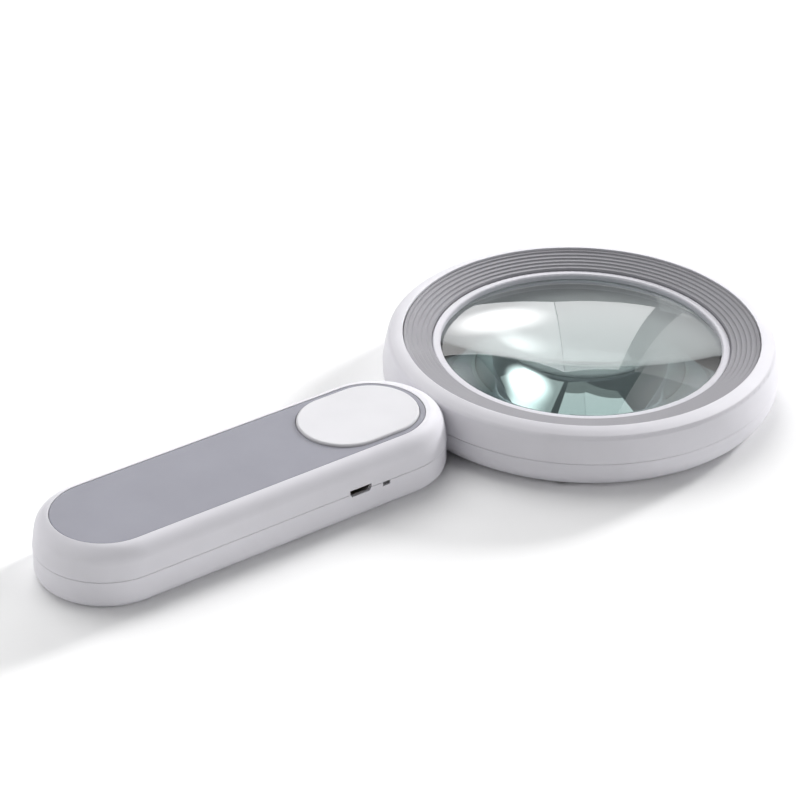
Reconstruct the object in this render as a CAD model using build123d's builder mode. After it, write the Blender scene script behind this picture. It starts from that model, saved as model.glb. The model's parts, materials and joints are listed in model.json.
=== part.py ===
from build123d import *
from math import cos, radians, sin
import os

os.makedirs("parts", exist_ok=True)

# A rechargeable lighted magnifier with a round head and a flat, round-ended handle.
# Millimetres. +X runs from the handle to the head, +Z is up, and -Y is the side with the charging port.
# The origin is the middle of the footprint, on the surface that the magnifier lies on.

# Outside of the two shells
TOP_Z = 18.0
PARTING_Z = 8.9
SEAM = 0.15
WALL = 2.0
FLOOR_Z = 2.0
HEAD_R = 58.0
HANDLE_R = 19.9
LENS_X = 62.0
TAIL_X = -100.1
NECK_X = -12.4
HEAD_BASE_ROUND = 6.3
HANDLE_BASE_ROUND = 3.0
LOWER_INSET = 0.05
TONGUE_INSETS = (1.12, 1.95)
TONGUE_H = 1.0
TONGUE_ROOT = 0.6
GROOVE_INSETS = (1.0, 2.1)
GROOVE_H = 1.2

# Upper edge of the handle and of the head, as insets and drops from the outline and the top
HANDLE_SHOULDER_INSET = 0.67
HANDLE_SHOULDER_DROP = 4.38
HANDLE_SHOULDER_SLOPE = 12
HANDLE_SIDE_SLOPE = 82
LIP_R = 52.25
LAND_W = 3.65
LAND_DROP = 1.15
LAND_SLOPE = 8
HEAD_SHOULDER_W = 4.48
HEAD_SHOULDER_DROP = 2.21
HEAD_CEILING_Z = 14.8

# Trim ring: a shallow funnel of terraces
TRIM_OUT_R = 51.95
TRIM_TOP_Z = 17.4
TRIM_STEPS = 6
FIRST_TREAD = 1.05
TREAD = 1.41
RISER_DROP = 0.41
RISER_RUN = 0.3
TRIM_IN_R = TRIM_OUT_R - FIRST_TREAD - TREAD * (TRIM_STEPS - 1) - RISER_RUN / 2
TRIM_BASE_OUT_Z = 16.0
TRIM_BASE_IN_Z = 14.0
TRIM_GAP = 0.06

# Bezel, lens, the seat under it and the collar around it
BEZEL_OUT_R = 43.62
BEZEL_IN_R = 41.1
BEZEL_BASE_Z = 13.05
BEZEL_TOP_Z = 14.7
BEZEL_ROUND = 0.6
LENS_R = 43.5
LENS_TOP_Z = 17.9
LENS_EDGE_TOP_Z = 12.4
LENS_EDGE_BASE_Z = 9.95
LENS_BELLY_R = 41.4
LENS_BELLY_EDGE_Z = 9.5
LENS_BASE_Z = 2.6
POCKET_R = 43.7
SEAT_Z = 9.4
SEAT_IN_R = 41.6
SEAT_T = 1.2
COLLAR_OUT_R = 45.6
COLLAR_FOOT_Z = 2.0

# Light under the head: frosted ring, board and chips
WINDOW_R = 48.6
REBATE_W = 1.0
DIFFUSER_OUT_R = 49.4
DIFFUSER_Z = 0.5
DIFFUSER_FLANGE_Z = 1.15
LED_BOARD_IN_R = 45.8
LED_BOARD_OUT_R = 49.8
LED_BOARD_Z = 5.2
LED_BOARD_T = 1.0
LED_CIRCLE_R = 47.6
LED_COUNT = 20
LED_SIZE = (2.8, 3.5)
LED_H = 0.7
LED_POST_R = 2.0
LED_BOARD_SCREW_ANGLES = (27, 99, 171, 243, 315)

# Handle inlay and the deck under it
INLAY_R = 15.08
INLAY_NECK_X = -14.0
INLAY_GAP = 0.12
INLAY_Z = 16.65
INLAY_TOP_Z = 17.95
INLAY_EDGE = 0.12
DECK_TOP_Z = 16.6
DECK_BASE_Z = 15.0

# Button, with its post and its four snap legs
BUTTON_R = 13.4
BUTTON_TAIL_X = -23.2
BUTTON_NECK_X = -14.0
BUTTON_GAP = 0.2
BUTTON_TOP_Z = 18.65
BUTTON_TRAVEL = 0.5
BUTTON_BASE_Z = DECK_TOP_Z + BUTTON_TRAVEL + 0.1
BUTTON_ROUND = 0.65
POST_R = 2.6
LEG_X = 7.5
LEG_INNER_Y = 8.6
LEG_W = 2.8
LEG_T = 1.2
HOOK_REACH = 0.9
HOOK_H = 0.9
HOOK_GAP = 0.2
LEG_ROOM = 0.3
LEG_SLOT_INNER_Y = 7.6
LEG_SLOT_OUTER_Y = 10.0

# Push switch
SWITCH_X = (BUTTON_TAIL_X + BUTTON_NECK_X) / 2
SWITCH_SIDE = 6.2
SWITCH_BODY_H = 3.5
SWITCH_EDGE = 0.4
SWITCH_FLOOR_H = 1.6
STEM_R = 1.7
STEM_GAP = 0.08
STEM_TOP_Z = 13.2
STEM_BASE_Z = 10.0

# Control board and what is on it
BOARD_TOP_Z = 7.7
BOARD_T = 1.0
BOARD_TAIL_X = -42.0
BOARD_NECK_X = -6.0
BOARD_PORT_Y = -16.6
BOARD_FAR_Y = 13.0
BOARD_CORNER = 4.0
CHARGER_CHIP_X = -28.5
CHARGER_CHIP_Y = 7.6
CHARGER_CHIP_SIZE = (9.9, 3.9)
DRIVER_CHIP_X = -32.4
DRIVER_CHIP_Y = -7.4
DRIVER_CHIP_SIZE = (4.9, 3.9)
CHIP_H = 1.5
COIL_X = -24.6
COIL_Y = -7.4
COIL_SIDE = 5.2
COIL_H = 3.0
PASSIVES_X = -28.6
PASSIVES_Y = 0.6
PASSIVE_PITCH = (2.4, 3.0)
PASSIVE_SIZE = (1.25, 2.0)
PASSIVE_H = 0.8

# Charging port, made to the standard micro-USB size
PORT_X = -31.9
PORT_FRONT_Y = -18.95
PORT_W = 7.5
PORT_H = 2.45
PORT_DEPTH = 5.0
PORT_WALL = 0.3
PORT_CORNER_W = 0.65
PORT_CORNER_SHARE = 0.45
PORT_MOUTH_INSET = 0.2
PORT_ROOM = 0.25
TONGUE_SIZE = (4.6, 0.6)
TONGUE_Z = BOARD_TOP_Z + 1.55
CONTACT_PITCH = 0.65
CONTACT_SIZE = (0.4, 0.12)
CONTACT_L = 2.6

# Charge light and its window
LIGHT_X = -23.3
LIGHT_W = 2.3
LIGHT_H = 1.15
LIGHT_Z = PARTING_Z - SEAM - LIGHT_H / 2
LIGHT_CHIP_SIZE = (1.6, 0.8)
LIGHT_CHIP_H = 0.6

# Battery, its foam pad, its guides and ribs in the shells, and its connector
CELL_TAIL_X = -109.0
CELL_NECK_X = -51.0
CELL_MID_X = (CELL_TAIL_X + CELL_NECK_X) / 2
CELL_W = 30.0
CELL_Z = 3.2
CELL_H = 9.8
CELL_SIDE_ROUND = 1.8
CELL_END_ROUND = 0.5
PAD_SIZE = (46, 22)
GUIDE_SPACING = 34
GUIDE_L = 12
GUIDE_H = 6
RIB_COUNT = 3
RIB_SPACING = 16
RIB_T = 1.2
RIB_L = 28
RIB_GAP = 0.2
SOCKET_X = -37.6
SOCKET_Y = 4.0
SOCKET_SIZE = (4.6, 7.4)
SOCKET_H = 4.6
SOCKET_WALL = 0.6
PLUG_SIZE = (4.8, 6.0)
PLUG_H = 3.2
PLUG_BACK_X = SOCKET_X - 1.2 - PLUG_SIZE[0] / 2

# Leads
LEAD_D = 1.3
BATTERY_LEAD_BEND_R = 3.4
LED_LEAD_BEND_R = 10.0
NECK_CHANNEL_Z = 5.6
NECK_CHANNEL_SIZE = (9, 8.4)
NECK_CHANNEL_H = 6.4

# Screws: head radius, head height, shank radius, shank length
SHELL_SCREW = (1.9, 1.3, 1.05, 8.7)
LED_BOARD_SCREW = (1.4, 0.85, 0.8, 4.4)
CONTROL_BOARD_SCREW = (1.7, 1.1, 0.95, 4.2)
SCREW_HEAD_Z = 1.6
BOSS_R = 2.7
BOSS_MEET_Z = 6.0
BOARD_PILLAR_R = 2.3
SCREW_CIRCLE_R = 52.95
HEAD_SCREW_ANGLES = (45, 135, 225, 315)
HANDLE_SCREWS = ((-113.0, 0.0), (-46.8, 14.2), (-46.8, -14.2), (-1.6, 9.6), (-1.6, -9.6))
BOARD_SCREWS = ((-38.8, 12.6), (-38.8, -12.6), (-9.5, 10.4), (-9.5, -10.4))

# Small clearances
FACE_GAP = 0.02
THREAD_GAP = 0.02

HEAD_PLANE = Plane(origin=(LENS_X, 0, 0), x_dir=(1, 0, 0), z_dir=(0, -1, 0))
PORT_PLANE = Plane(origin=(PORT_X, 0, 0), x_dir=(1, 0, 0), z_dir=(0, -1, 0))
LENS_AXIS = Axis((LENS_X, 0, 0), (0, 0, 1))


def around_lens(radius, angles):
    """Points on a circle around the lens."""
    return [(LENS_X + radius * cos(radians(a)), radius * sin(radians(a))) for a in angles]


HEAD_SCREWS = around_lens(SCREW_CIRCLE_R, HEAD_SCREW_ANGLES)
SHELL_SCREWS = [*HEAD_SCREWS, *HANDLE_SCREWS]
LED_BOARD_SCREWS = around_lens(LED_CIRCLE_R, LED_BOARD_SCREW_ANGLES)


def downhill(degrees):
    """The direction that leads outwards and falls by an angle."""
    return (cos(radians(degrees)), -sin(radians(degrees)))


def save(builder, name):
    """Label a finished sub-part and write its STEP file."""
    builder.part.label = name
    export_step(builder.part, f"parts/{name}.step")


def discs(low_z, high_z, centres, radius):
    """Upright discs of one radius between two levels."""
    with BuildPart() as group:
        with BuildSketch(Plane.XY.offset(low_z)):
            with Locations(*centres):
                Circle(radius)
        extrude(amount=high_z - low_z)
    return group.part


def slot_sketch(z, tail_x, neck_x, half_width):
    """A round-ended outline along X on the level z."""
    with BuildSketch(Plane.XY.offset(z)) as outline:
        with Locations(((tail_x + neck_x) / 2, 0)):
            SlotCenterToCenter(neck_x - tail_x, 2 * half_width)
    return outline.sketch


def handle_body(section):
    """A body along the handle with round ends, with the same half section along its sides and its ends."""
    start = Plane.YZ.offset(TAIL_X)
    with BuildPart() as body:
        with BuildSketch(start):
            add(section)
            mirror(section, about=Plane.YZ)
        extrude(amount=NECK_X - TAIL_X)
        with BuildSketch(start):
            add(section)
        revolve(axis=Axis((TAIL_X, 0, 0), (0, 0, 1)), revolution_arc=180)
        with BuildSketch(Plane.YZ.offset(NECK_X)):
            add(section)
        revolve(axis=Axis((NECK_X, 0, 0), (0, 0, -1)), revolution_arc=180)
    return body.part


def outline_band(low_z, high_z, insets):
    """A band that follows the whole outline of the shells, between two insets from it."""
    with BuildSketch(Plane.XY.offset(low_z)) as whole:
        with Locations((LENS_X, 0)):
            Circle(HEAD_R)
        with Locations(((TAIL_X + NECK_X) / 2, 0)):
            SlotCenterToCenter(NECK_X - TAIL_X, 2 * HANDLE_R)
    with BuildPart() as band:
        with BuildSketch(Plane.XY.offset(low_z)):
            offset(whole.sketch, amount=-insets[0])
            offset(whole.sketch, amount=-insets[1], mode=Mode.SUBTRACT)
        extrude(amount=high_z - low_z)
    return band.part


def handle_upper_section():
    """Half section of the handle's upper half: a soft shoulder, then a side that leans in a little."""
    shoulder_start = (INLAY_R + INLAY_GAP, TOP_Z)
    shoulder_end = (HANDLE_R - HANDLE_SHOULDER_INSET, TOP_Z - HANDLE_SHOULDER_DROP)
    with BuildSketch() as section:
        with BuildLine():
            shoulder = TangentArc(shoulder_start, shoulder_end, tangent=downhill(HANDLE_SHOULDER_SLOPE))
            side = TangentArc(shoulder @ 1, (HANDLE_R, PARTING_Z), tangent=downhill(HANDLE_SIDE_SLOPE))
            Polyline(side @ 1, (0, PARTING_Z), (0, TOP_Z), shoulder @ 0)
        make_face()
    return section.sketch


def rounded_section(half_width, low_z, high_z, base_round=0.0, top_round=0.0):
    """Half section of a plain body with a rounded lower or upper edge."""
    with BuildSketch() as section:
        with Locations((half_width / 2, (low_z + high_z) / 2)):
            Rectangle(half_width, high_z - low_z)
        outer = section.vertices().group_by(Axis.X)[-1].sort_by(Axis.Y)
        if base_round:
            fillet(outer[0], base_round)
        if top_round:
            fillet(outer[-1], top_round)
    return section.sketch


def head_upper_ring():
    """The upper half of the head: a gently sloping land, a tight shoulder and a leaning side.
    Inside it are the deck under the trim ring, the pocket and seat of the lens, and the collar around it."""
    land_end = (LIP_R + LAND_W, TOP_Z - LAND_DROP)
    shoulder_end = (LIP_R + HEAD_SHOULDER_W, TOP_Z - HEAD_SHOULDER_DROP)
    deck_rise = (TRIM_BASE_OUT_Z - TRIM_BASE_IN_Z) / (TRIM_OUT_R - TRIM_IN_R)
    deck_out_z = TRIM_BASE_OUT_Z - TRIM_GAP + deck_rise * (LIP_R - TRIM_OUT_R)
    deck_in_z = TRIM_BASE_IN_Z - TRIM_GAP + deck_rise * (POCKET_R - TRIM_IN_R)
    ceiling_in_z = deck_in_z - SEAT_T
    inner_r = HEAD_R - WALL
    with BuildPart() as ring:
        with BuildSketch(HEAD_PLANE):
            with BuildLine():
                land = TangentArc((LIP_R, TOP_Z), land_end, tangent=downhill(LAND_SLOPE))
                shoulder = TangentArc(land @ 1, shoulder_end, tangent=land % 1)
                side = TangentArc(shoulder @ 1, (HEAD_R, PARTING_Z), tangent=shoulder % 1)
                Polyline(
                    side @ 1,
                    (inner_r, PARTING_Z),
                    (inner_r - 0.7, HEAD_CEILING_Z - 1.2),
                    (inner_r - 1.9, HEAD_CEILING_Z),
                    (COLLAR_OUT_R, ceiling_in_z),
                    (COLLAR_OUT_R, COLLAR_FOOT_Z),
                    (POCKET_R, COLLAR_FOOT_Z),
                    (POCKET_R, SEAT_Z - 2 * SEAT_T),
                    (SEAT_IN_R, SEAT_Z - SEAT_T),
                    (SEAT_IN_R, SEAT_Z),
                    (POCKET_R, SEAT_Z),
                    (POCKET_R, deck_in_z),
                    (LIP_R, deck_out_z),
                    (LIP_R, TOP_Z),
                )
            make_face()
        revolve(axis=LENS_AXIS)
    return ring.part


def port_section(inset):
    """The six-sided section of the charging port, wide side up, seen from the front."""
    half_w = PORT_W / 2 - inset
    height = PORT_H - 2 * inset
    low_z = BOARD_TOP_Z + inset
    with BuildSketch(PORT_PLANE) as mouth:
        with BuildLine():
            Polyline(
                (-half_w, low_z + height),
                (half_w, low_z + height),
                (half_w, low_z + PORT_CORNER_SHARE * height),
                (half_w - PORT_CORNER_W, low_z),
                (-half_w + PORT_CORNER_W, low_z),
                (-half_w, low_z + PORT_CORNER_SHARE * height),
                close=True,
            )
        make_face()
    return mouth.sketch


def port_cutter():
    """The opening for the charging port: its mouth through the wall and the pocket of its shell behind."""
    with BuildPart() as cutter:
        extrude(port_section(PORT_MOUTH_INSET), amount=HANDLE_R + 1)
        with BuildSketch(Plane.XZ.offset(-PORT_FRONT_Y + 0.05)):
            with Locations((PORT_X, BOARD_TOP_Z + PORT_H / 2)):
                Rectangle(PORT_W + 2 * PORT_ROOM, PORT_H + 2 * PORT_ROOM)
        extrude(amount=-PORT_DEPTH - 0.7)
    return cutter.part


def light_block(front_inset, depth, growth):
    """A block of the size of the charge light's window, just under the parting line."""
    with BuildPart() as block:
        with BuildSketch(Plane.XZ.offset(HANDLE_R - front_inset)):
            with Locations((LIGHT_X, LIGHT_Z)):
                Rectangle(LIGHT_W + growth, LIGHT_H + growth)
        extrude(amount=-depth)
    return block.part


def neck_channel():
    """The channel that carries the leads from the handle into the head."""
    with BuildPart() as cutter:
        with BuildSketch(Plane.XY.offset(NECK_CHANNEL_Z)):
            with Locations((LENS_X - HEAD_R + 0.9 * WALL, 0)):
                Rectangle(*NECK_CHANNEL_SIZE)
        extrude(amount=NECK_CHANNEL_H)
    return cutter.part


def led_cavity():
    """The ring-shaped hollow of the head's lower half, open at the top."""
    inner_r = WINDOW_R + REBATE_W
    outer_r = HEAD_R - WALL
    with BuildPart() as hollow:
        with BuildSketch(HEAD_PLANE) as section:
            with Locations(((inner_r + outer_r) / 2, (FLOOR_Z + PARTING_Z + 1) / 2)):
                Rectangle(outer_r - inner_r, PARTING_Z + 1 - FLOOR_Z)
            low_corner = section.vertices().group_by(Axis.X)[-1].sort_by(Axis.Y)[0]
            fillet(low_corner, HEAD_BASE_ROUND - WALL)
        revolve(axis=LENS_AXIS)
    return hollow.part


def lead(route, bend_r):
    """A round lead along a route of straight runs joined by arcs."""
    with BuildPart() as wire:
        with BuildLine() as path:
            FilletPolyline(*route, radius=bend_r)
        with BuildSketch(Plane(origin=path.line @ 0, z_dir=path.line % 0)):
            Circle(LEAD_D / 2)
        sweep()
    return wire.part


def screw(head_r, head_h, shank_r, length):
    """A pan-head screw with a cross recess. Its head hangs below the origin and its shank stands above it."""
    slot_l, slot_w = 1.3 * head_r, 0.32 * head_r
    with BuildPart() as body:
        with BuildSketch(Plane.XY):
            Circle(head_r)
        extrude(amount=-head_h)
        fillet(body.edges().group_by(Axis.Z)[0], 0.45 * head_h)
        with BuildSketch(Plane.XY.offset(-head_h)):
            Rectangle(slot_l, slot_w)
            Rectangle(slot_w, slot_l)
        extrude(amount=0.55 * head_h, mode=Mode.SUBTRACT)
        with BuildSketch(Plane.XY):
            Circle(shank_r)
        extrude(amount=length)
        chamfer(body.edges().group_by(Axis.Z)[-1], 0.4 * shank_r)
    return body.part


# Top shell: the upper housing of head and handle in one moulding
handle_hollow = rounded_section(HANDLE_R - WALL, PARTING_Z, DECK_BASE_Z, top_round=3)
with BuildPart() as top_shell:
    add(handle_body(handle_upper_section()))
    add(handle_body(handle_hollow), mode=Mode.SUBTRACT)
    add(discs(PARTING_Z, TOP_Z + 1, [(LENS_X, 0)], HEAD_R - WALL), mode=Mode.SUBTRACT)
    add(head_upper_ring())
    extrude(
        slot_sketch(DECK_TOP_Z, TAIL_X, INLAY_NECK_X, INLAY_R + INLAY_GAP),
        amount=TOP_Z - DECK_TOP_Z + 1,
        mode=Mode.SUBTRACT,
    )
    # Openings in the deck for the button's post and legs
    with BuildSketch(Plane.XY.offset(DECK_BASE_Z)):
        with Locations((SWITCH_X, 0)):
            Circle(POST_R + 0.7)
            with GridLocations(2 * LEG_X, LEG_SLOT_INNER_Y + LEG_SLOT_OUTER_Y, 2, 2):
                Rectangle(LEG_W + 2 * LEG_ROOM, LEG_SLOT_OUTER_Y - LEG_SLOT_INNER_Y)
    extrude(amount=DECK_TOP_Z - DECK_BASE_Z, mode=Mode.SUBTRACT)
    # Ribs that hold the cell down
    with BuildSketch(Plane.XY.offset(CELL_Z + CELL_H + RIB_GAP)):
        with Locations((CELL_MID_X, 0)):
            with GridLocations(RIB_SPACING, 0, RIB_COUNT, 1):
                Rectangle(RIB_T, RIB_L)
    extrude(amount=DECK_BASE_Z - CELL_Z - CELL_H)
    # Bosses for the shell screws and posts for the light board
    add(discs(BOSS_MEET_Z, HEAD_CEILING_Z - 1, SHELL_SCREWS, BOSS_R))
    add(discs(BOSS_MEET_Z, DECK_BASE_Z, HANDLE_SCREWS, BOSS_R))
    led_post_z = LED_BOARD_Z + LED_BOARD_T + FACE_GAP
    add(discs(led_post_z, HEAD_CEILING_Z - 1, LED_BOARD_SCREWS, LED_POST_R))
    shell_pilot_r = SHELL_SCREW[2] + THREAD_GAP
    shell_pilot_top_z = SCREW_HEAD_Z + SHELL_SCREW[1] + SHELL_SCREW[3] + 0.6
    add(discs(BOSS_MEET_Z, shell_pilot_top_z, SHELL_SCREWS, shell_pilot_r), mode=Mode.SUBTRACT)
    led_pilot_r = LED_BOARD_SCREW[2] + THREAD_GAP
    led_pilot_top_z = LED_BOARD_Z + LED_BOARD_SCREW[3] + 1.6
    add(discs(LED_BOARD_Z, led_pilot_top_z, LED_BOARD_SCREWS, led_pilot_r), mode=Mode.SUBTRACT)
    add(outline_band(PARTING_Z, PARTING_Z + GROOVE_H, GROOVE_INSETS), mode=Mode.SUBTRACT)
    add(port_cutter(), mode=Mode.SUBTRACT)
    add(neck_channel(), mode=Mode.SUBTRACT)
save(top_shell, "top_shell")

# Outer form of the bottom shell, without its hollows
lower_top_z = PARTING_Z - SEAM
lower_handle = rounded_section(HANDLE_R - LOWER_INSET, 0, lower_top_z, base_round=HANDLE_BASE_ROUND)
with BuildPart() as lower_form:
    add(handle_body(lower_handle))
    with BuildSketch(HEAD_PLANE) as head_section:
        with Locations(((HEAD_R - 2 * LOWER_INSET) / 2, lower_top_z / 2)):
            Rectangle(HEAD_R - 2 * LOWER_INSET, lower_top_z)
        fillet(head_section.vertices().group_by(Axis.X)[-1].sort_by(Axis.Y)[0], HEAD_BASE_ROUND)
    revolve(axis=LENS_AXIS)

# Pillars around the shell screws, kept within the outer form
with BuildPart() as lower_bosses:
    add(discs(0, BOSS_MEET_Z - 0.05, SHELL_SCREWS, BOSS_R + 0.3))
    add(lower_form.part, mode=Mode.INTERSECT)

# Bottom shell: the lower housing, with a ring-shaped window under the head
lower_hollow = rounded_section(HANDLE_R - WALL, FLOOR_Z, PARTING_Z + 1, base_round=HANDLE_BASE_ROUND - WALL)
pillar_top_z = BOARD_TOP_Z - BOARD_T - FACE_GAP
screw_head_top_z = SCREW_HEAD_Z + SHELL_SCREW[1] + FACE_GAP
with BuildPart() as bottom_shell:
    add(lower_form.part)
    add(handle_body(lower_hollow), mode=Mode.SUBTRACT)
    add(led_cavity(), mode=Mode.SUBTRACT)
    add(discs(0, PARTING_Z, [(LENS_X, 0)], WINDOW_R), mode=Mode.SUBTRACT)
    rebate_z = DIFFUSER_FLANGE_Z - 0.05
    add(discs(rebate_z, PARTING_Z, [(LENS_X, 0)], WINDOW_R + REBATE_W + 0.01), mode=Mode.SUBTRACT)
    add(lower_bosses.part)
    add(discs(FLOOR_Z - 0.5, pillar_top_z, BOARD_SCREWS, BOARD_PILLAR_R))
    # Guides on both sides of the cell
    with BuildSketch(Plane.XY.offset(FLOOR_Z - 0.5)):
        with Locations((CELL_MID_X, 0)):
            with GridLocations(GUIDE_SPACING, CELL_W + 1.5 * RIB_T, 2, 2):
                Rectangle(GUIDE_L, RIB_T)
    extrude(amount=GUIDE_H)
    add(outline_band(lower_top_z - TONGUE_ROOT, PARTING_Z + TONGUE_H, TONGUE_INSETS))
    # Holes for the screws, from below for the shells and from above for the board
    add(discs(0, screw_head_top_z, SHELL_SCREWS, SHELL_SCREW[0] + 0.15), mode=Mode.SUBTRACT)
    add(discs(0, BOSS_MEET_Z, SHELL_SCREWS, SHELL_SCREW[2] + 0.15), mode=Mode.SUBTRACT)
    board_pilot_z = pillar_top_z - CONTROL_BOARD_SCREW[3] + 0.7
    pilot_r = CONTROL_BOARD_SCREW[2] + THREAD_GAP
    add(discs(board_pilot_z, pillar_top_z + 1, BOARD_SCREWS, pilot_r), mode=Mode.SUBTRACT)
    add(port_cutter(), mode=Mode.SUBTRACT)
    add(light_block(-2, 6, 0.1), mode=Mode.SUBTRACT)
    add(neck_channel(), mode=Mode.SUBTRACT)
save(bottom_shell, "bottom_shell")

# Trim ring: a shallow funnel of terraces around the lens
with BuildPart() as trim_ring:
    with BuildSketch(HEAD_PLANE):
        with BuildLine():
            terraces = [(TRIM_OUT_R, TRIM_TOP_Z)]
            for step in range(TRIM_STEPS):
                riser_r = TRIM_OUT_R - FIRST_TREAD - TREAD * step
                high_z = TRIM_TOP_Z - RISER_DROP * step
                terraces.append((riser_r + RISER_RUN / 2, high_z))
                terraces.append((riser_r - RISER_RUN / 2, high_z - RISER_DROP))
            Polyline(*terraces, (TRIM_IN_R, TRIM_BASE_IN_Z), (TRIM_OUT_R, TRIM_BASE_OUT_Z), close=True)
        make_face()
    revolve(axis=LENS_AXIS)
save(trim_ring, "trim_ring")

# Lens bezel: a narrow ring with a soft crest that holds the lens down
with BuildPart() as lens_bezel:
    with BuildSketch(HEAD_PLANE) as bezel_section:
        with Locations(((BEZEL_IN_R + BEZEL_OUT_R) / 2, (BEZEL_BASE_Z + BEZEL_TOP_Z) / 2)):
            Rectangle(BEZEL_OUT_R - BEZEL_IN_R, BEZEL_TOP_Z - BEZEL_BASE_Z)
        fillet(bezel_section.vertices().group_by(Axis.Y)[-1], BEZEL_ROUND)
    revolve(axis=LENS_AXIS)
save(lens_bezel, "lens_bezel")

# Main lens: biconvex, with a flat edge that the seat and the bezel hold
with BuildPart() as main_lens:
    with BuildSketch(HEAD_PLANE):
        with BuildLine():
            crown = TangentArc((0, LENS_TOP_Z), (LENS_R, LENS_EDGE_TOP_Z), tangent=(1, 0))
            belly = TangentArc((0, LENS_BASE_Z), (LENS_BELLY_R, LENS_BELLY_EDGE_Z), tangent=(1, 0))
            Polyline(crown @ 1, (LENS_R, LENS_EDGE_BASE_Z), (LENS_BELLY_R, LENS_EDGE_BASE_Z), belly @ 1)
            Line(belly @ 0, crown @ 0)
        make_face()
    revolve(axis=LENS_AXIS)
save(main_lens, "main_lens")

# Lens gasket: a thin ring between the seat and the lens
with BuildPart() as lens_gasket:
    with BuildSketch(Plane.XY.offset(SEAT_Z + FACE_GAP)):
        with Locations((LENS_X, 0)):
            Circle(LENS_R)
            Circle(SEAT_IN_R + 0.1, mode=Mode.SUBTRACT)
    extrude(amount=LENS_EDGE_BASE_Z - SEAT_Z - 2 * FACE_GAP)
save(lens_gasket, "lens_gasket")

# Diffuser ring: the frosted window of the light, under the head
with BuildPart() as diffuser_ring:
    with BuildSketch(HEAD_PLANE):
        with BuildLine():
            Polyline(
                (POCKET_R, DIFFUSER_Z),
                (WINDOW_R - 0.15, DIFFUSER_Z),
                (WINDOW_R - 0.15, DIFFUSER_FLANGE_Z),
                (DIFFUSER_OUT_R, DIFFUSER_FLANGE_Z),
                (DIFFUSER_OUT_R, COLLAR_FOOT_Z - 0.05),
                (POCKET_R, COLLAR_FOOT_Z - 0.05),
                close=True,
            )
        make_face()
    revolve(axis=LENS_AXIS)
save(diffuser_ring, "diffuser_ring")

# Light board and its chips, which shine down through the diffuser
with BuildPart() as led_board:
    with BuildSketch(Plane.XY.offset(LED_BOARD_Z)):
        with Locations((LENS_X, 0)):
            Circle(LED_BOARD_OUT_R)
            Circle(LED_BOARD_IN_R, mode=Mode.SUBTRACT)
        with Locations(*LED_BOARD_SCREWS):
            Circle(LED_BOARD_SCREW[2] + 0.15, mode=Mode.SUBTRACT)
    extrude(amount=LED_BOARD_T)
save(led_board, "led_board")

with BuildPart() as led_chips:
    with BuildSketch(Plane.XY.offset(LED_BOARD_Z)):
        with Locations((LENS_X, 0)):
            with PolarLocations(LED_CIRCLE_R, LED_COUNT):
                Rectangle(*LED_SIZE)
    extrude(amount=-LED_H)
save(led_chips, "led_chips")

# Handle inlay: a flat panel let into the top of the handle, with the opening for the button
inlay_t = INLAY_TOP_Z - INLAY_Z
with BuildPart() as handle_inlay:
    extrude(slot_sketch(INLAY_Z, TAIL_X, INLAY_NECK_X, INLAY_R), amount=inlay_t)
    chamfer(handle_inlay.edges().group_by(Axis.Z)[-1], INLAY_EDGE)
    button_opening = slot_sketch(INLAY_Z, BUTTON_TAIL_X, BUTTON_NECK_X, BUTTON_R + BUTTON_GAP)
    extrude(button_opening, amount=inlay_t, mode=Mode.SUBTRACT)
save(handle_inlay, "handle_inlay")

# Button: a round-ended cap with a post for the switch and four snap legs that hook under the deck
hook_top_z = DECK_BASE_Z - HOOK_GAP
with BuildPart() as button_cap:
    cap_outline = slot_sketch(BUTTON_BASE_Z, BUTTON_TAIL_X, BUTTON_NECK_X, BUTTON_R)
    extrude(cap_outline, amount=BUTTON_TOP_Z - BUTTON_BASE_Z)
    fillet(button_cap.edges().group_by(Axis.Z)[-1], BUTTON_ROUND)
    add(discs(STEM_TOP_Z + 0.05, BUTTON_BASE_Z, [(SWITCH_X, 0)], POST_R))
    for side in (1, -1):
        with BuildSketch(Plane.XY.offset(hook_top_z - HOOK_H)):
            with Locations((SWITCH_X, side * (LEG_INNER_Y + LEG_T / 2))):
                with GridLocations(2 * LEG_X, 0, 2, 1):
                    Rectangle(LEG_W, LEG_T)
        extrude(amount=BUTTON_BASE_Z - hook_top_z + HOOK_H)
        with BuildSketch(Plane.XY.offset(hook_top_z - HOOK_H)):
            with Locations((SWITCH_X, side * (LEG_INNER_Y + (LEG_T + HOOK_REACH) / 2))):
                with GridLocations(2 * LEG_X, 0, 2, 1):
                    Rectangle(LEG_W, LEG_T + HOOK_REACH)
        extrude(amount=HOOK_H)
save(button_cap, "button_cap")

# Push switch under the button: a square body and the stem that the button presses
with BuildPart() as switch_body:
    with BuildSketch(Plane.XY.offset(BOARD_TOP_Z)):
        with Locations((SWITCH_X, 0)):
            Rectangle(SWITCH_SIDE, SWITCH_SIDE)
    extrude(amount=SWITCH_BODY_H)
    chamfer(switch_body.edges().group_by(Axis.Z)[-1], SWITCH_EDGE)
    well_z = BOARD_TOP_Z + SWITCH_FLOOR_H
    well = discs(well_z, BOARD_TOP_Z + SWITCH_BODY_H, [(SWITCH_X, 0)], STEM_R + STEM_GAP)
    add(well, mode=Mode.SUBTRACT)
save(switch_body, "switch_body")

with BuildPart() as switch_stem:
    add(discs(STEM_BASE_Z, STEM_TOP_Z, [(SWITCH_X, 0)], STEM_R))
    chamfer(switch_stem.edges().group_by(Axis.Z)[-1], 0.25)
save(switch_stem, "switch_stem")

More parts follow.
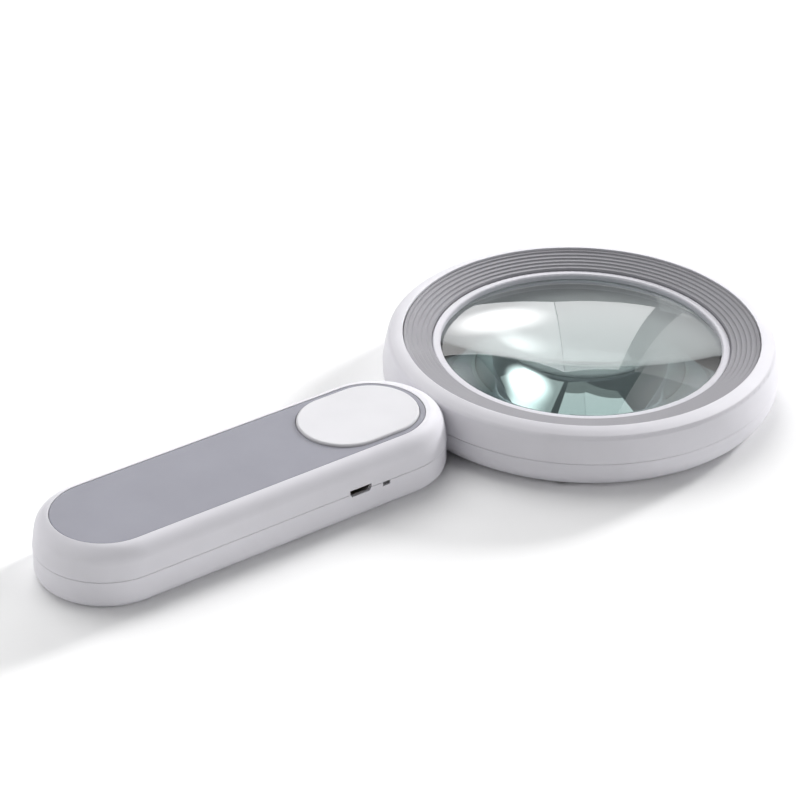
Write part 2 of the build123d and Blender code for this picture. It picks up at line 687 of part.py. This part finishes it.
# Control board with its chips and small parts
with BuildPart() as control_board:
    with BuildSketch(Plane.XY.offset(BOARD_TOP_Z - BOARD_T)) as board_outline:
        with Locations(((BOARD_TAIL_X + BOARD_NECK_X) / 2, (BOARD_PORT_Y + BOARD_FAR_Y) / 2)):
            Rectangle(BOARD_NECK_X - BOARD_TAIL_X, BOARD_FAR_Y - BOARD_PORT_Y)
        chamfer(board_outline.vertices().group_by(Axis.X)[-1], BOARD_CORNER)
        with Locations(*BOARD_SCREWS):
            Circle(CONTROL_BOARD_SCREW[2] + 0.15, mode=Mode.SUBTRACT)
    extrude(amount=BOARD_T)
save(control_board, "control_board")

with BuildPart() as board_chips:
    with BuildSketch(Plane.XY.offset(BOARD_TOP_Z)):
        with Locations((CHARGER_CHIP_X, CHARGER_CHIP_Y)):
            Rectangle(*CHARGER_CHIP_SIZE)
        with Locations((DRIVER_CHIP_X, DRIVER_CHIP_Y)):
            Rectangle(*DRIVER_CHIP_SIZE)
    extrude(amount=CHIP_H)
    chamfer(board_chips.edges().group_by(Axis.Z)[-1], 0.2)
save(board_chips, "board_chips")

with BuildPart() as board_passives:
    with BuildSketch(Plane.XY.offset(BOARD_TOP_Z)):
        with Locations((PASSIVES_X, PASSIVES_Y)):
            with GridLocations(*PASSIVE_PITCH, 5, 2):
                Rectangle(*PASSIVE_SIZE)
    extrude(amount=PASSIVE_H)
    with BuildSketch(Plane.XY.offset(BOARD_TOP_Z)):
        with Locations((COIL_X, COIL_Y)):
            RectangleRounded(COIL_SIDE, COIL_SIDE, 0.8)
    extrude(amount=COIL_H)
save(board_passives, "board_passives")

# Charging port: steel shell, plastic tongue and five contacts
with BuildPart() as usb_shell:
    extrude(port_section(0), amount=-PORT_FRONT_Y)
    extrude(port_section(PORT_WALL), amount=-PORT_FRONT_Y, mode=Mode.SUBTRACT)
    split(bisect_by=Plane.XZ.offset(-PORT_FRONT_Y - PORT_DEPTH), keep=Keep.TOP)
save(usb_shell, "usb_shell")

with BuildPart() as usb_tongue:
    with BuildSketch(Plane.XZ.offset(-PORT_FRONT_Y - 0.6)):
        with Locations((PORT_X, TONGUE_Z)):
            Rectangle(*TONGUE_SIZE)
    extrude(amount=0.6 - PORT_DEPTH)
    with BuildSketch(Plane.XZ.offset(-PORT_FRONT_Y - 3.6)):
        with Locations((PORT_X, BOARD_TOP_Z + PORT_H / 2 + 0.2)):
            Rectangle(6.0, 1.2)
    extrude(amount=3.6 - PORT_DEPTH)
save(usb_tongue, "usb_tongue")

with BuildPart() as usb_contacts:
    with BuildSketch(Plane.XZ.offset(-PORT_FRONT_Y - 0.9)):
        with Locations((PORT_X, TONGUE_Z - TONGUE_SIZE[1] / 2 - CONTACT_SIZE[1] / 2 - FACE_GAP)):
            with GridLocations(CONTACT_PITCH, 0, 5, 1):
                Rectangle(*CONTACT_SIZE)
    extrude(amount=-CONTACT_L)
save(usb_contacts, "usb_contacts")

# Charge light: a lit chip on the board's edge and the small clear window in front of it
with BuildPart() as charge_led:
    with BuildSketch(Plane.XY.offset(BOARD_TOP_Z)):
        with Locations((LIGHT_X, BOARD_PORT_Y + 0.7)):
            Rectangle(*LIGHT_CHIP_SIZE)
    extrude(amount=LIGHT_CHIP_H)
save(charge_led, "charge_led")

with BuildPart() as light_window:
    add(light_block(0.55, WALL + 0.35, -FACE_GAP))
save(light_window, "light_window")

# Battery: a flat cell on a foam pad
with BuildPart() as battery_pad:
    with BuildSketch(Plane.XY.offset(FLOOR_Z + FACE_GAP)):
        with Locations((CELL_MID_X, 0)):
            Rectangle(*PAD_SIZE)
    extrude(amount=CELL_Z - FLOOR_Z - 2 * FACE_GAP)
save(battery_pad, "battery_pad")

with BuildPart() as battery_cell:
    with BuildSketch(Plane.XY.offset(CELL_Z)):
        with Locations((CELL_MID_X, 0)):
            Rectangle(CELL_NECK_X - CELL_TAIL_X, CELL_W)
    extrude(amount=CELL_H)
    fillet(battery_cell.edges().filter_by(Axis.X), CELL_SIDE_ROUND)
    fillet(battery_cell.faces().filter_by(Axis.X).edges(), CELL_END_ROUND)
save(battery_cell, "battery_cell")

# Battery connector: a socket on the board and the plug of the battery leads
with BuildPart() as battery_socket:
    with BuildSketch(Plane.XY.offset(BOARD_TOP_Z)):
        with Locations((SOCKET_X, SOCKET_Y)):
            Rectangle(*SOCKET_SIZE)
    extrude(amount=SOCKET_H)
    with BuildSketch(Plane.XY.offset(BOARD_TOP_Z + SOCKET_WALL)):
        with Locations((SOCKET_X - 0.8, SOCKET_Y)):
            Rectangle(SOCKET_SIZE[0], SOCKET_SIZE[1] - 2 * SOCKET_WALL)
    extrude(amount=SOCKET_H - 2 * SOCKET_WALL, mode=Mode.SUBTRACT)
save(battery_socket, "battery_socket")

with BuildPart() as battery_plug:
    with BuildSketch(Plane.XY.offset(BOARD_TOP_Z + SOCKET_WALL + 0.1)):
        with Locations((PLUG_BACK_X + PLUG_SIZE[0] / 2, SOCKET_Y)):
            Rectangle(*PLUG_SIZE)
    extrude(amount=PLUG_H)
save(battery_plug, "battery_plug")

# Leads from the plug down to the cell's end
plug_lead_z = BOARD_TOP_Z + SOCKET_WALL + 0.1 + PLUG_H / 2
cell_lead_z = CELL_Z + 5.2
for name, side in (("battery_lead_red", 1), ("battery_lead_black", -1)):
    plug_lead_y = SOCKET_Y + 1.2 * side
    cell_lead_y = SOCKET_Y - 1 + 2.6 * side
    battery_route = (
        (PLUG_BACK_X, plug_lead_y, plug_lead_z),
        (PLUG_BACK_X - 3.2, plug_lead_y, plug_lead_z),
        (PLUG_BACK_X - 6.4, cell_lead_y, cell_lead_z),
        (CELL_NECK_X, cell_lead_y, cell_lead_z),
    )
    with BuildPart() as battery_lead:
        add(lead(battery_route, BATTERY_LEAD_BEND_R))
    save(battery_lead, name)

# Leads from the control board through the neck to the light board
board_lead_z = BOARD_TOP_Z + LEAD_D / 2 + 0.03
led_lead_z = LED_BOARD_Z + LED_BOARD_T + 0.9
for name, side in (("led_lead_red", 1), ("led_lead_black", -1)):
    led_route = (
        (BOARD_NECK_X - 2.4, 1.5 * side, board_lead_z),
        (BOARD_NECK_X + 3.2, 1.5 * side, board_lead_z),
        (BOARD_NECK_X + 9.2, 1.3 * side, board_lead_z + 0.8),
        (BOARD_NECK_X + 14.6, 1.4 * side, board_lead_z + 0.2),
        (BOARD_NECK_X + 19.8, 1.6 * side, led_lead_z),
    )
    with BuildPart() as led_lead:
        add(lead(led_route, LED_LEAD_BEND_R))
    save(led_lead, name)

# Screws that close the shells from below
with BuildPart() as shell_screws:
    with Locations(*[(x, y, SCREW_HEAD_Z + SHELL_SCREW[1]) for x, y in SHELL_SCREWS]):
        add(screw(*SHELL_SCREW))
save(shell_screws, "shell_screws")

# Screws of the light board, driven from below
with BuildPart() as led_board_screws:
    with Locations(*[(x, y, LED_BOARD_Z - FACE_GAP) for x, y in LED_BOARD_SCREWS]):
        add(screw(*LED_BOARD_SCREW))
save(led_board_screws, "led_board_screws")

# Screws of the control board, driven from above
with BuildPart() as control_board_screws:
    with Locations(*[Location((x, y, BOARD_TOP_Z + FACE_GAP), (180, 0, 0)) for x, y in BOARD_SCREWS]):
        add(screw(*CONTROL_BOARD_SCREW))
save(control_board_screws, "control_board_screws")
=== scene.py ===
"""Looks of a lighted hand magnifier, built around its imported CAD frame.

Metres throughout, in the part's own frame: +X from the handle to the head, +Z up.
"""
import json
from math import cos, radians, sin

import bpy
from mathutils import Matrix, Vector


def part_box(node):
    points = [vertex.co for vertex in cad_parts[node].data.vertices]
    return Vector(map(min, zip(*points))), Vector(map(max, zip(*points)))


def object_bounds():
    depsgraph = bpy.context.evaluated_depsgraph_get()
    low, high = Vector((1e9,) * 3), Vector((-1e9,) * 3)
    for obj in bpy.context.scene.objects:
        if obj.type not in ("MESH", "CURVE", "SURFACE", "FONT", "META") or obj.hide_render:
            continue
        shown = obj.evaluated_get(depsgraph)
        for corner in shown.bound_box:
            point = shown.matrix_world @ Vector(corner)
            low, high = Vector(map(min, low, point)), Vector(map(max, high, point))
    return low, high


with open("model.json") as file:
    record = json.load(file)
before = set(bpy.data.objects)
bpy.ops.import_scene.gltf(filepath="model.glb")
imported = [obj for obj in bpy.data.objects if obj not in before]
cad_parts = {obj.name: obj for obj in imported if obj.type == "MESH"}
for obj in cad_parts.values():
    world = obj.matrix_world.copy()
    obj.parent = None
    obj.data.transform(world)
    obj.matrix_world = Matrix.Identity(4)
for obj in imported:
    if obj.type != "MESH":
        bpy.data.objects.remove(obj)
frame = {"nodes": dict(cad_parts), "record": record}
cad_box = [list(corner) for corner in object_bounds()]

MM = 0.001


# ---------------------------------------------------------------- materials

def new_material(name):
    """An empty node material. Returns the material, a node maker and a linker."""
    material = bpy.data.materials.new(name)
    material.use_nodes = True
    tree = material.node_tree
    tree.nodes.clear()

    def node(kind, **values):
        made = tree.nodes.new(kind)
        for key, value in values.items():
            if hasattr(made, key):
                setattr(made, key, value)
            else:
                made.inputs[key.replace("_", " ")].default_value = value
        return made

    return material, node, tree.links.new


def noise(node, link, coordinates, size_mm, detail=2.0):
    """Noise whose blobs are about size_mm across."""
    made = node("ShaderNodeTexNoise", Scale=1 / (size_mm * MM), Detail=detail, Roughness=0.5)
    link(coordinates, made.inputs["Vector"])
    return made.outputs["Fac"]


def between(node, link, value, low, high, from_low=0.3, from_high=0.7):
    """The value, with from_low to from_high stretched to low to high."""
    made = node("ShaderNodeMapRange", From_Min=from_low, From_Max=from_high, To_Min=low, To_Max=high)
    link(value, made.inputs["Value"])
    return made.outputs["Result"]


def blend_colours(node, link, factor, first, second):
    """A colour from first to second, by a factor's socket. First and second are each a colour or a socket."""
    made = node("ShaderNodeMix", data_type="RGBA")
    for socket, value in ((made.inputs["Factor"], factor), (made.inputs[6], first), (made.inputs[7], second)):
        if isinstance(value, tuple):
            socket.default_value = (*value, 1)
        else:
            link(value, socket)
    return made.outputs[2]


def shade(colour, factor):
    """The same colour, lighter or darker."""
    return tuple(min(1.0, channel * factor) for channel in colour)


CLOUD_MM = 18
PATCH_MM = 6
GLOSS_SPREAD = 0.03
# Facing values between which the painted edge highlight fades in, from full on bent edges to none on flat
# faces.
EDGE_FACING = (0.8, 0.995)


def moulded(name, colour, roughness, grain_mm=0.25, grain_depth=0.004, mottle=0.03, edge_mm=0.25,
            edge_highlight_lift=1.05, metallic=0.0, specular=0.5):
    """A surface with a fine grain, faint mottling, soft edges made a little lighter by a painted highlight,
    and uneven gloss.
    """
    material, node, link = new_material(name)
    place = node("ShaderNodeTexCoord").outputs["Object"]
    output = node("ShaderNodeOutputMaterial")
    surface = node("ShaderNodeBsdfPrincipled", Metallic=metallic, Specular_IOR_Level=specular)

    cloud = noise(node, link, place, CLOUD_MM, detail=3.0)
    base = blend_colours(
        node, link, between(node, link, cloud, 0.0, 1.0), shade(colour, 1 - mottle), shade(colour, 1 + mottle)
    )
    soft_edge = node("ShaderNodeBevel", samples=6, Radius=edge_mm * MM)
    plain = node("ShaderNodeNewGeometry")
    facing = node("ShaderNodeVectorMath", operation="DOT_PRODUCT")
    link(soft_edge.outputs["Normal"], facing.inputs[0])
    link(plain.outputs["Normal"], facing.inputs[1])
    # Painted highlight: the colour is lightened along soft edges, where the bevel normal turns away from the
    # face's own normal, by the edge lift.
    painted_edge_highlight = between(node, link, facing.outputs["Value"], 1.0, 0.0, *EDGE_FACING)
    base = blend_colours(node, link, painted_edge_highlight, base, shade(colour, edge_highlight_lift))
    link(base, surface.inputs["Base Color"])

    grain = noise(node, link, place, grain_mm)
    patches = noise(node, link, place, PATCH_MM)
    gloss = node("ShaderNodeMath", operation="ADD")
    link(between(node, link, grain, -GLOSS_SPREAD, GLOSS_SPREAD), gloss.inputs[0])
    link(between(node, link, patches, roughness - GLOSS_SPREAD, roughness + GLOSS_SPREAD), gloss.inputs[1])
    link(gloss.outputs[0], surface.inputs["Roughness"])

    bump = node("ShaderNodeBump", Strength=0.6, Distance=grain_depth * MM)
    link(grain, bump.inputs["Height"])
    link(soft_edge.outputs["Normal"], bump.inputs["Normal"])
    link(bump.outputs["Normal"], surface.inputs["Normal"])
    link(surface.outputs["BSDF"], output.inputs["Surface"])
    return material


LENS_IOR = 1.52
LENS_TINT = (0.52, 0.75, 0.73, 1)
LENS_DENSITY = 14.0
LENS_CLEARNESS = 0.86


def lens_glass():
    """Clear polished glass with a faint green depth."""
    material, node, link = new_material("lens_glass")
    place = node("ShaderNodeTexCoord").outputs["Object"]
    output = node("ShaderNodeOutputMaterial")
    surface = node("ShaderNodeBsdfPrincipled", Roughness=0.0, IOR=LENS_IOR)
    surface.inputs["Transmission Weight"].default_value = 1.0
    surface.inputs["Base Color"].default_value = (0.985, 0.99, 0.99, 1)
    smear = noise(node, link, place, 30, detail=1.0)
    bump = node("ShaderNodeBump", Strength=0.15, Distance=0.0004 * MM)
    link(smear, bump.inputs["Height"])
    link(bump.outputs["Normal"], surface.inputs["Normal"])
    depth = node("ShaderNodeVolumeAbsorption", Density=LENS_DENSITY, Color=LENS_TINT)
    # Shadow rays and diffuse rays pass straight through, dimmed at each face, so the lens focuses no light
    rays = node("ShaderNodeLightPath")
    dimmed = node("ShaderNodeMath", operation="MAXIMUM")
    link(rays.outputs["Is Shadow Ray"], dimmed.inputs[0])
    link(rays.outputs["Is Diffuse Ray"], dimmed.inputs[1])
    straight = node("ShaderNodeBsdfTransparent", Color=(LENS_CLEARNESS, LENS_CLEARNESS, LENS_CLEARNESS, 1))
    mixed = node("ShaderNodeMixShader")
    link(dimmed.outputs[0], mixed.inputs["Fac"])
    link(surface.outputs["BSDF"], mixed.inputs[1])
    link(straight.outputs["BSDF"], mixed.inputs[2])
    link(mixed.outputs["Shader"], output.inputs["Surface"])
    link(depth.outputs["Volume"], output.inputs["Volume"])
    return material


def circuit(name, colour):
    """A solder-masked board: faint tracks under a glossy lacquer."""
    material, node, link = new_material(name)
    place = node("ShaderNodeTexCoord").outputs["Object"]
    output = node("ShaderNodeOutputMaterial")
    surface = node("ShaderNodeBsdfPrincipled")
    tracks = node(
        "ShaderNodeTexBrick", Scale=1.0, Brick_Width=3.1 * MM, Row_Height=0.9 * MM, Mortar_Size=0.22 * MM
    )
    link(place, tracks.inputs["Vector"])
    base = blend_colours(node, link, tracks.outputs["Fac"], colour, shade(colour, 1.9))
    link(base, surface.inputs["Base Color"])
    link(between(node, link, noise(node, link, place, 2.5), 0.25, 0.4), surface.inputs["Roughness"])
    bump = node("ShaderNodeBump", Strength=0.5, Distance=0.03 * MM)
    link(tracks.outputs["Fac"], bump.inputs["Height"])
    link(bump.outputs["Normal"], surface.inputs["Normal"])
    link(surface.outputs["BSDF"], output.inputs["Surface"])
    return material


# Each finish's edge lift sets how much its painted edge highlight lightens the colour.
FINISHES = {
    "shell_white": dict(
        colour=(0.715, 0.705, 0.745), roughness=0.42, edge_mm=0.3, edge_highlight_lift=1.15, specular=0.35
    ),
    "trim_grey": dict(
        colour=(0.305, 0.30, 0.322), roughness=0.46, edge_mm=0.1, edge_highlight_lift=1.12, specular=0.2
    ),
    "inlay_grey": dict(
        colour=(0.262, 0.262, 0.303), roughness=0.5, grain_mm=0.18, grain_depth=0.006, edge_highlight_lift=1.1,
        specular=0.3
    ),
    "bezel_white": dict(colour=(0.60, 0.59, 0.635), roughness=0.3, grain_depth=0.002, specular=0.35),
    "button_white": dict(colour=(0.635, 0.63, 0.655), roughness=0.4, specular=0.35),
    "frosted_plastic": dict(colour=(0.88, 0.88, 0.87), roughness=0.55, grain_depth=0.01),
    "gasket_clear": dict(colour=(0.70, 0.72, 0.74), roughness=0.5),
    "led_phosphor": dict(colour=(0.85, 0.74, 0.26), roughness=0.25, mottle=0.1),
    "chip_black": dict(colour=(0.025, 0.025, 0.028), roughness=0.5),
    "part_tan": dict(colour=(0.36, 0.26, 0.15), roughness=0.5, mottle=0.12),
    "screw_steel": dict(colour=(0.56, 0.56, 0.57), roughness=0.32, metallic=1.0, grain_mm=0.12),
    "port_steel": dict(colour=(0.76, 0.73, 0.73), roughness=0.38, metallic=1.0, grain_mm=0.1),
    "contact_gold": dict(colour=(0.86, 0.66, 0.28), roughness=0.25, metallic=1.0, grain_mm=0.1),
    "battery_wrap": dict(colour=(0.16, 0.30, 0.52), roughness=0.25, mottle=0.08),
    "pad_foam": dict(colour=(0.06, 0.06, 0.065), roughness=0.9, grain_mm=0.6, grain_depth=0.05),
    "lead_red": dict(colour=(0.55, 0.03, 0.02), roughness=0.45),
    "lead_black": dict(colour=(0.02, 0.02, 0.02), roughness=0.45),
    "connector_cream": dict(colour=(0.74, 0.68, 0.54), roughness=0.4),
    "window_clear": dict(colour=(0.10, 0.10, 0.105), roughness=0.15),
    "switch_black": dict(colour=(0.03, 0.03, 0.032), roughness=0.5),
}
made_materials = {slot: moulded(slot, **finish) for slot, finish in FINISHES.items()}
made_materials["lens_glass"] = lens_glass()
made_materials["circuit_green"] = circuit("circuit_green", (0.02, 0.16, 0.07))
slot_of = {part["node"]: part["material_slot"] for part in frame["record"]["subparts"]}
for name, cad_node in frame["nodes"].items():
    cad_node.data.materials.clear()
    cad_node.data.materials.append(made_materials[slot_of[name]])


# ---------------------------------------------------------------- stage, light and camera

FLOOR_HALF = 30.0
FLOOR_GAP = 0.02 * MM


def floor():
    """The plain white surface that the magnifier lies on."""
    mesh = bpy.data.meshes.new("floor")
    corners = [(x * FLOOR_HALF, y * FLOOR_HALF, 0) for x, y in ((-1, -1), (1, -1), (1, 1), (-1, 1))]
    mesh.from_pydata(corners, [], [(0, 1, 2, 3)])
    plane = bpy.data.objects.new("floor", mesh)
    plane.location.z = cad_box[0][2] - FLOOR_GAP
    bpy.context.scene.collection.objects.link(plane)
    material, node, link = new_material("floor_white")
    output = node("ShaderNodeOutputMaterial")
    surface = node("ShaderNodeBsdfPrincipled", Roughness=0.7, Specular_IOR_Level=0.2)
    surface.inputs["Base Color"].default_value = (0.93, 0.93, 0.93, 1)
    link(surface.outputs["BSDF"], output.inputs["Surface"])
    mesh.materials.append(material)


CAMERA_TARGET = Vector((-3.93, 0.17, 18.0)) * MM
CAMERA_DISTANCE = 793.4 * MM
CAMERA_AZIMUTH = radians(-36.99)
CAMERA_ELEVATION = radians(31.13)
CAMERA_ROLL = radians(0.62)
CAMERA_LENS = 127.62
CAMERA_SENSOR = 36
CAMERA_CLIP = (0.01, 200)


def direction(azimuth, elevation):
    """A unit vector that points from the object towards a place at that azimuth and elevation."""
    return Vector((sin(azimuth) * cos(elevation), -cos(azimuth) * cos(elevation), sin(elevation)))


def camera():
    """The camera, at the photograph's viewing angle."""
    data = bpy.data.cameras.new("camera")
    data.lens = CAMERA_LENS
    data.sensor_width = CAMERA_SENSOR
    data.clip_start, data.clip_end = CAMERA_CLIP
    eye = bpy.data.objects.new("camera", data)
    back = direction(CAMERA_AZIMUTH, CAMERA_ELEVATION)
    right = Vector((cos(CAMERA_AZIMUTH), sin(CAMERA_AZIMUTH), 0))
    up = back.cross(right)
    tilted_right = right * cos(CAMERA_ROLL) + up * sin(CAMERA_ROLL)
    tilted_up = up * cos(CAMERA_ROLL) - right * sin(CAMERA_ROLL)
    turn = Matrix((tilted_right, tilted_up, back)).transposed().to_4x4()
    eye.matrix_world = Matrix.Translation(CAMERA_TARGET + back * CAMERA_DISTANCE) @ turn
    bpy.context.scene.collection.objects.link(eye)
    bpy.context.scene.camera = eye


def soft_sun(name, azimuth, elevation, spread, strength):
    """A distant light, spread degrees across and even over the whole floor. It shows neither in gloss nor
    through glass."""
    data = bpy.data.lights.new(name, "SUN")
    data.angle = radians(spread)
    data.energy = strength
    lamp = bpy.data.objects.new(name, data)
    lamp.rotation_mode = "QUATERNION"
    lamp.rotation_quaternion = direction(radians(azimuth), radians(elevation)).to_track_quat("Z", "Y")
    lamp.visible_glossy = False
    lamp.visible_transmission = False
    bpy.context.scene.collection.objects.link(lamp)


PANEL_DISTANCE = 1.7
SHEET_STEPS = 8
SPOT_MARGIN = 1.05
SPOT_FORWARD = 0.05


def stage_surface(name, azimuths, low, high):
    """A curved sheet around the stage, between two azimuths in degrees, seen from the lens. Low and high are
    the elevations of its lower and upper edges at those azimuths. The camera doesn't see it."""
    mesh = bpy.data.meshes.new(name)
    points = []
    for row in range(SHEET_STEPS + 1):
        for column in range(SHEET_STEPS + 1):
            across, upwards = column / SHEET_STEPS, row / SHEET_STEPS
            bottom = low[0] + (low[1] - low[0]) * across
            top = high[0] + (high[1] - high[0]) * across
            azimuth = radians(azimuths[0] + (azimuths[1] - azimuths[0]) * across)
            elevation = radians(bottom + (top - bottom) * upwards)
            points.append(LENS_CENTRE + direction(azimuth, elevation) * PANEL_DISTANCE)
    faces = []
    next_row = SHEET_STEPS + 1
    for row in range(SHEET_STEPS):
        for column in range(SHEET_STEPS):
            corner = row * next_row + column
            faces.append((corner, corner + 1, corner + next_row + 1, corner + next_row))
    mesh.from_pydata(points, [], faces)
    sheet = bpy.data.objects.new(name, mesh)
    sheet.visible_camera = False
    sheet.visible_shadow = False
    bpy.context.scene.collection.objects.link(sheet)
    return sheet


def light_panel(name, azimuths, low, high, strength, through):
    """A soft box with an even glow. It is two sheets: one lights surfaces and shows in gloss, and the other,
    with the level through, shows only by way of the inside of the lens."""
    for ending, level, direct in (("", strength, True), ("_through", through, False)):
        panel = stage_surface(name + ending, azimuths, low, high)
        panel.visible_diffuse = direct
        panel.visible_glossy = direct
        panel.visible_transmission = not direct
        material, node, link = new_material(name + ending)
        output = node("ShaderNodeOutputMaterial")
        glow = node("ShaderNodeEmission", Strength=level)
        link(glow.outputs["Emission"], output.inputs["Surface"])
        panel.data.materials.append(material)


def glow_spot(name, azimuth, elevation, size, strength, mirrored):
    """A glow that fades out, size degrees in radius. It shows only in gloss if mirrored, or else only through
    glass, and it lights nothing."""
    margin = size * SPOT_MARGIN
    towards = direction(radians(azimuth), radians(elevation))
    azimuths = (azimuth - margin, azimuth + margin)
    low, high = (elevation - margin,) * 2, (elevation + margin,) * 2
    spot = stage_surface(name, azimuths, low, high)
    spot.location = -towards * SPOT_FORWARD
    spot.visible_diffuse = False
    spot.visible_glossy = mirrored
    spot.visible_transmission = not mirrored
    material, node, link = new_material(name)
    output = node("ShaderNodeOutputMaterial")
    place = node("ShaderNodeTexCoord").outputs["Object"]
    away = node("ShaderNodeVectorMath", operation="DISTANCE")
    link(place, away.inputs[0])
    away.inputs[1].default_value = LENS_CENTRE + PANEL_DISTANCE * towards
    fade = node(
        "ShaderNodeMapRange", interpolation_type="SMOOTHSTEP", From_Min=0.0,
        From_Max=PANEL_DISTANCE * radians(size), To_Min=strength, To_Max=0.0
    )
    glow = node("ShaderNodeEmission")
    clear = node("ShaderNodeBsdfTransparent")
    both = node("ShaderNodeAddShader")
    link(away.outputs["Value"], fade.inputs["Value"])
    link(fade.outputs["Result"], glow.inputs["Strength"])
    link(glow.outputs["Emission"], both.inputs[0])
    link(clear.outputs["BSDF"], both.inputs[1])
    link(both.outputs["Shader"], output.inputs["Surface"])
    spot.data.materials.append(material)


def surroundings():
    """A dim room around the stage, which the camera sees as a plain pale backdrop."""
    world = bpy.data.worlds.new("room")
    bpy.context.scene.world = world
    world.use_nodes = True
    tree = world.node_tree
    tree.nodes.clear()
    output = tree.nodes.new("ShaderNodeOutputWorld")
    mix = tree.nodes.new("ShaderNodeMixShader")
    rays = tree.nodes.new("ShaderNodeLightPath")
    tree.links.new(rays.outputs["Is Camera Ray"], mix.inputs["Fac"])
    for socket, colour, strength in ((1, (0.95, 0.96, 1.0, 1), 0.11), (2, (0.97, 0.97, 0.97, 1), 1.0)):
        glow = tree.nodes.new("ShaderNodeBackground")
        glow.inputs["Color"].default_value = colour
        glow.inputs["Strength"].default_value = strength
        tree.links.new(glow.outputs["Background"], mix.inputs[socket])
    tree.links.new(mix.outputs["Shader"], output.inputs["Surface"])


lens_low, lens_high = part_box("main_lens")
LENS_CENTRE = (lens_low + lens_high) / 2

floor()
camera()
soft_sun("overhead_light", azimuth=172, elevation=59, spread=46, strength=1.64)
soft_sun("side_light", azimuth=98, elevation=19, spread=9, strength=2.9)
soft_sun("front_fill", azimuth=42, elevation=12, spread=34, strength=1.2)
light_panel("left_panel", (142.0, 160.0), low=(16, 9), high=(36, 25), strength=3.1, through=0.8)
light_panel("left_panel_top", (142.0, 160.0), low=(36, 25), high=(45, 31), strength=3.1, through=0.25)
light_panel("middle_panel", (131.3, 141.9), low=(13.5, 16), high=(34, 35), strength=2.5, through=0.75)
light_panel("middle_panel_top", (131.3, 141.9), low=(34, 35), high=(42.5, 45), strength=2.5, through=0.25)
light_panel("right_panel", (97.0, 128.5), low=(9, 13), high=(38, 42), strength=0.9, through=0.5)
light_panel("left_reflector", (215.0, 290.0), low=(2, 2), high=(50, 50), strength=1.1, through=2.6)
glow_spot("left_glow", 149.4, 22.4, size=7, strength=10.0, mirrored=True)
glow_spot("left_haze", 171, 39, size=14, strength=5.5, mirrored=True)
glow_spot("right_haze", 99, 45, size=26, strength=6.0, mirrored=True)
glow_spot("right_glow", 108, 27, size=17, strength=5.0, mirrored=False)
surroundings()
bpy.context.scene.view_settings.view_transform = "Standard"
